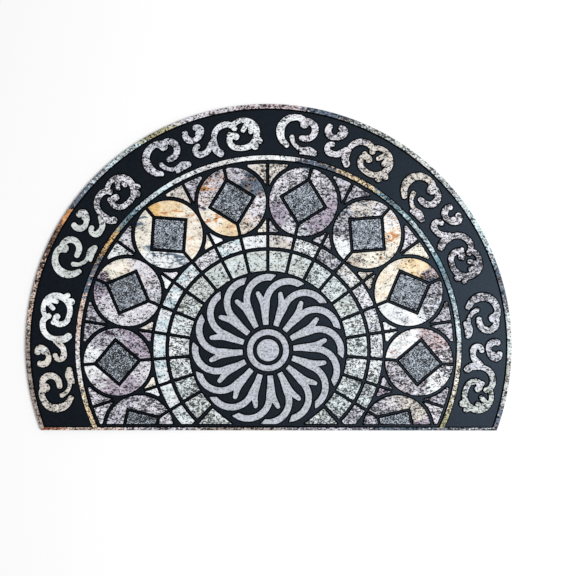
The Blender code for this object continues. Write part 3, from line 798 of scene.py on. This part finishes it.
# Rows along a path of arcs. An arc's middle is its radius to the side of its start, square to the
# heading, and a point on it is the same radius back from there, with the heading turned so far.
def arcRows(start, arcs, widths):
    along, out, heading = start
    rows = [np.array([[along, out, widths[0]]], float)]
    for (radius, turn), width, nextWidth in zip(arcs, widths, widths[1:]):
        side, facing = np.copysign(radius, turn), np.radians(heading)
        middle = np.array([along - side * np.sin(facing), out + side * np.cos(facing)])
        steps = int(np.ceil(abs(turn) / scrolls["arcStep"]))
        share = np.arange(1, steps + 1) / steps
        facing = np.radians(heading + turn * share)
        rows.append(np.stack([middle[0] + side * np.sin(facing), middle[1] - side * np.cos(facing),
                              width + (nextWidth - width) * share], axis=1))
        along, out = rows[-1][-1, :2]
        heading += turn
    return np.vstack(rows)


# A smooth cubic through the rows, the same curve at even distances, and half the width to each side of
# it; each end is half an ellipse.
def strokeOutline(rows):
    row = np.vstack([2 * rows[0] - rows[1], rows, 2 * rows[-1] - rows[-2]])[:, None]
    share = (np.arange(scrolls["curveShares"]) / scrolls["curveShares"])[None, :, None]
    p0, p1, p2, p3 = row[:-3], row[1:-2], row[2:-1], row[3:]
    fine = 0.5 * (2 * p1 + (p2 - p0) * share + (2 * p0 - 5 * p1 + 4 * p2 - p3) * share ** 2
                  + (3 * p1 - p0 - 3 * p2 + p3) * share ** 3)
    fine = np.vstack([fine.reshape(-1, 3), rows[-1:]])
    reached = np.concatenate([[0.0], np.cumsum(np.linalg.norm(np.diff(fine[:, :2], axis=0), axis=1))])
    even = np.linspace(0.0, reached[-1], max(int(round(reached[-1] / scrolls["stationPitch"])), 3) + 1)
    middle = np.stack([np.interp(even, reached, column) for column in fine.T], axis=1)
    ahead = np.gradient(middle[:, :2], axis=0)
    ahead = ahead / np.linalg.norm(ahead, axis=1, keepdims=True)
    half = middle[:, 2] / 2
    nose = np.radians(np.linspace(12.0, 78.0, scrolls["noseSteps"]))[:, None]
    length = scrolls["noseLength"] * middle[[0, -1], 2]
    first = middle[0, :2] - ahead[0] * length[0] * np.cos(nose)
    last = middle[-1, :2] + ahead[-1] * length[1] * np.cos(nose[::-1])
    line = np.vstack([first, middle[:, :2], last])
    steps = scrolls["noseSteps"]
    ahead = np.vstack([np.tile(ahead[0], (steps, 1)), ahead, np.tile(ahead[-1], (steps, 1))])
    half = np.concatenate([half[0] * np.sin(nose[:, 0]), half, half[-1] * np.sin(nose[::-1, 0])])
    aside = np.stack([-ahead[:, 1], ahead[:, 0]], axis=1) * half[:, None]
    return np.vstack([line + aside, (line - aside)[::-1]])


# A point's way along the border is an angle from the motif's start, and its way out a radius.
def bentRound(outline, start):
    radius = scrolls["middle"] + outline[:, 1] * mm
    return polar(radius, start - np.degrees(outline[:, 0] * mm / scrolls["middle"]))


def makeScrolls():
    shells = []
    for count in range(scrolls["count"]):
        start = scrolls["first"] - scrolls["pitch"] * count
        for order, (first, arcs, widths) in enumerate(scrolls["strokes"].values()):
            loop = bentRound(strokeOutline(arcRows(first, arcs, widths)), start)
            top = patternTop - scrolls["topStep"] * order
            shell = carriedRound(loop, raisedProfile(top), ladder=True)
            shells.append(printAlong(shell, scrolls["stops"], angleOf(shell["flat"]), "slate", 0.25))
    scrollPrint = printedFace("scroll_print", commonLook | looks["scrolls"])
    return makePiece("scrollwork", shells, scrollPrint, "printed_face")


edging = printedFace("edging_print", commonLook | looks["edging"])
rubberSlab = makeSlab()
makeRim()
makeBand()
makeRosette()
makeStones()
makeRoundels()
makeCorners()
makeScrolls()
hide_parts("mat")

# The camera looks down from about the middle of the mat, a little tilted. Its small shift frames the mat
# above the picture's middle, as in the photo.
camera = {"lens": 43.75, "place": (0.0476, -0.03, 1.2968), "turn": (-2.588, 0.465, -0.043), "shift": 0.05}
cameraData = bpy.data.cameras.new("camera")
cameraData.lens = camera["lens"]
cameraData.shift_y = camera["shift"]
cameraObject = bpy.data.objects.new("camera", cameraData)
cameraObject.location = camera["place"]
cameraObject.rotation_euler = np.radians(camera["turn"])
bpy.context.scene.collection.objects.link(cameraObject)
bpy.context.scene.camera = cameraObject

# Soft light from all round, and one large soft lamp high on the right.
light = {"sky": 0.35, "lampPlace": (2.6, -0.35, 4.4), "lampSize": 2.4, "lampPower": 255.0, "floor": 0.93}
world = bpy.data.worlds.new("studio")
bpy.context.scene.world = world
world.use_nodes = True
world.node_tree.nodes["Background"].inputs["Color"].default_value = (1.0, 1.0, 1.0, 1.0)
world.node_tree.nodes["Background"].inputs["Strength"].default_value = light["sky"]
lampData = bpy.data.lights.new("lamp", "AREA")
lampData.energy = light["lampPower"]
lampData.size = light["lampSize"]
lamp = bpy.data.objects.new("lamp", lampData)
lamp.location = light["lampPlace"]
towards = -np.array(light["lampPlace"])    # the mat's middle is the origin
lamp.rotation_euler = (np.arctan2(np.hypot(towards[0], towards[1]), -towards[2]), 0.0,
                       np.arctan2(towards[1], towards[0]) - np.pi / 2)
bpy.context.scene.collection.objects.link(lamp)

floorMaterial, floorTree, floorShader = newMaterial("pale_floor")
floorShader.inputs["Base Color"].default_value = (light["floor"], light["floor"], light["floor"], 1.0)
floorShader.inputs["Roughness"].default_value = 0.8
floorShader.inputs["Specular IOR Level"].default_value = 0.0
floorMesh = bpy.data.meshes.new("floor")
reach = 6.0
floorCorners = [(-reach, -reach, 0.0), (reach, -reach, 0.0), (reach, reach, 0.0), (-reach, reach, 0.0)]
floorMesh.from_pydata(floorCorners, [], [(0, 1, 2, 3)])
floorMesh.materials.append(floorMaterial)
floor = bpy.data.objects.new("floor", floorMesh)
bpy.context.scene.collection.objects.link(floor)
bpy.context.scene.view_settings.view_transform = "Standard"
